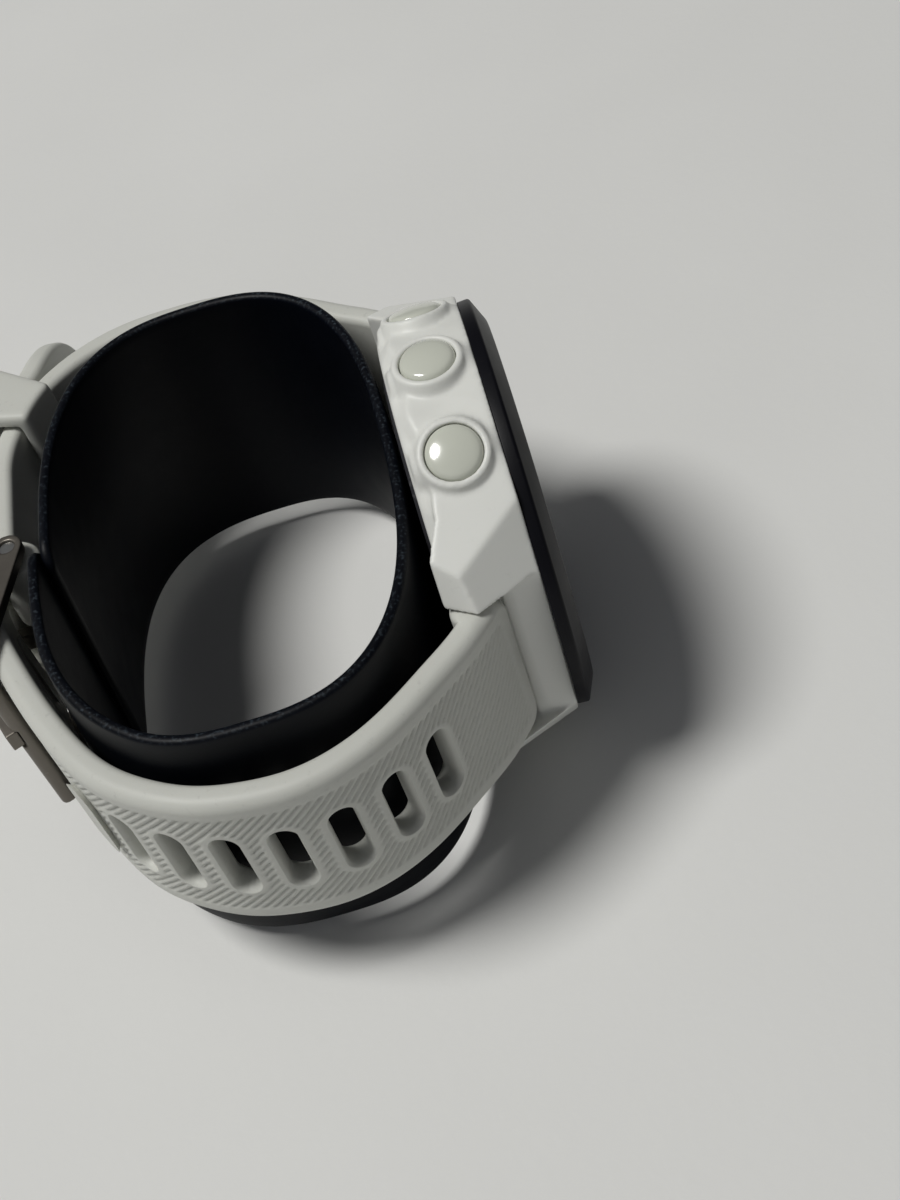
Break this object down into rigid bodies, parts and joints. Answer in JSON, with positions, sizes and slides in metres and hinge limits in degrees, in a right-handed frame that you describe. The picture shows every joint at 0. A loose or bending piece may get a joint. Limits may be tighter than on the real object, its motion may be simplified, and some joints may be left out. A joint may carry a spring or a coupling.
{
  "type": "gps running watch",
  "caption": "Round sports watch with side buttons, a slotted two-piece strap closed in a pin buckle with a sliding keeper, and a removable display cuff inside the band.",
  "frame": {"origin": "on the dial axis, in the plane of the case's back rim", "axes": "+X out of the glass, +Y toward 12 o'clock, +Z toward 9 o'clock and up, as the watch lies on its 3 o'clock side"},
  "size_m": [0.0659, 0.085, 0.0484],
  "materials": {
    "case_polymer": "satin",
    "bezel_black": "satin",
    "clear_glass": "polished",
    "rubber_seal": "matte",
    "screen": "gloss",
    "ribbon": "satin",
    "carrier_plastic": "matte",
    "antenna_metal": "brushed",
    "board_green": "satin",
    "chip_metal": "satin",
    "battery_foil": "satin",
    "motor_steel": "satin",
    "cover_black": "matte",
    "steel": "brushed",
    "gold": "polished",
    "button_gloss": "gloss",
    "strap_silicone": "matte",
    "keeper_silicone": "matte",
    "buckle_metal": "satin",
    "cuff_sheet": "matte"
  },
  "bodies": {
    "case": {"case_body": "case_polymer", "bezel": "bezel_black", "lens_glass": "clear_glass", "lens_gasket": "rubber_seal", "display_module": "screen", "display_flex": "ribbon", "mid_frame": "carrier_plastic", "gps_antenna": "antenna_metal", "main_board": "board_green", "board_chips": "chip_metal", "battery": "battery_foil", "vibration_motor": "motor_steel", "back_cover": "cover_black", "back_screws": "steel", "back_gasket": "rubber_seal", "sensor_window": "clear_glass", "optical_sensor_board": "board_green", "contact_block": "carrier_plastic", "charge_contacts": "gold", "button_seals": "rubber_seal", "button_springs": "steel", "button_switches": "chip_metal"},
    "button_upper_left": {"button_upper_left": "button_gloss", "button_upper_left_clip": "steel"},
    "button_middle_left": {"button_middle_left": "button_gloss", "button_middle_left_clip": "steel"},
    "button_lower_left": {"button_lower_left": "button_gloss", "button_lower_left_clip": "steel"},
    "button_upper_right": {"button_upper_right": "button_gloss", "button_upper_right_clip": "steel"},
    "button_lower_right": {"button_lower_right": "button_gloss", "button_lower_right_clip": "steel"},
    "long_strap": {"strap_long": "strap_silicone", "lower_spring_bar": "steel", "lower_bar_spring": "steel"},
    "lower_release_pin": {"lower_release_pin": "steel"},
    "short_strap": {"strap_short": "strap_silicone", "upper_spring_bar": "steel", "upper_bar_spring": "steel", "buckle_pin": "steel"},
    "upper_release_pin": {"upper_release_pin": "steel"},
    "buckle_frame": {"buckle_frame": "buckle_metal"},
    "buckle_tongue": {"buckle_tongue": "buckle_metal"},
    "keeper": {"strap_keeper": "keeper_silicone"},
    "cuff": {"display_cuff": "cuff_sheet"}
  },
  "joints": [
    {"name": "button_upper_left_press", "type": "slide", "parent": "case", "child": "button_upper_left", "axis": [0, -0.4656, -0.885], "range_m": [0, 0.0006], "deforming": ["button_springs"]},
    {"name": "button_middle_left_press", "type": "slide", "parent": "case", "child": "button_middle_left", "axis": [0, 0, -1], "range_m": [0, 0.0006], "deforming": ["button_springs"]},
    {"name": "button_lower_left_press", "type": "slide", "parent": "case", "child": "button_lower_left", "axis": [0, 0.4656, -0.885], "range_m": [0, 0.0006], "deforming": ["button_springs"]},
    {"name": "button_upper_right_press", "type": "slide", "parent": "case", "child": "button_upper_right", "axis": [0, -0.4656, 0.885], "range_m": [0, 0.0006], "deforming": ["button_springs"]},
    {"name": "button_lower_right_press", "type": "slide", "parent": "case", "child": "button_lower_right", "axis": [0, 0.4656, 0.885], "range_m": [0, 0.0006], "deforming": ["button_springs"]},
    {"name": "long_strap_swing", "type": "hinge", "parent": "case", "child": "long_strap", "pos_m": [0.0026, -0.022, 0], "axis": [0, 0, 1], "range_deg": [0, 60], "deforming": ["strap_long"]},
    {"name": "short_strap_swing", "type": "hinge", "parent": "case", "child": "short_strap", "pos_m": [0.0026, 0.022, 0], "axis": [0, 0, -1], "range_deg": [0, 60]},
    {"name": "lower_release_slide", "type": "slide", "parent": "long_strap", "child": "lower_release_pin", "axis": [0, 0, -1], "range_m": [0, 0.0019], "deforming": ["lower_bar_spring"]},
    {"name": "upper_release_slide", "type": "slide", "parent": "short_strap", "child": "upper_release_pin", "axis": [0, 0, -1], "range_m": [0, 0.0019], "deforming": ["upper_bar_spring"]},
    {"name": "buckle_frame_swing", "type": "hinge", "parent": "short_strap", "child": "buckle_frame", "pos_m": [-0.0456, 0.0042, 0], "axis": [0, 0, -1], "range_deg": [0, 75]},
    {"name": "buckle_tongue_lift", "type": "hinge", "parent": "buckle_frame", "child": "buckle_tongue", "pos_m": [-0.0456, 0.0042, 0], "axis": [0, 0, -1], "range_deg": [0, 25]},
    {"name": "keeper_slide", "type": "hinge", "parent": "short_strap", "child": "keeper", "pos_m": [-0.0268, 0.0184, 0], "axis": [0, 0, 1], "range_deg": [-27, 14]},
    {"name": "cuff_slide", "type": "slide", "parent": "case", "child": "cuff", "axis": [0, 0, 1], "range_m": [0, 0.04]}
  ]
}
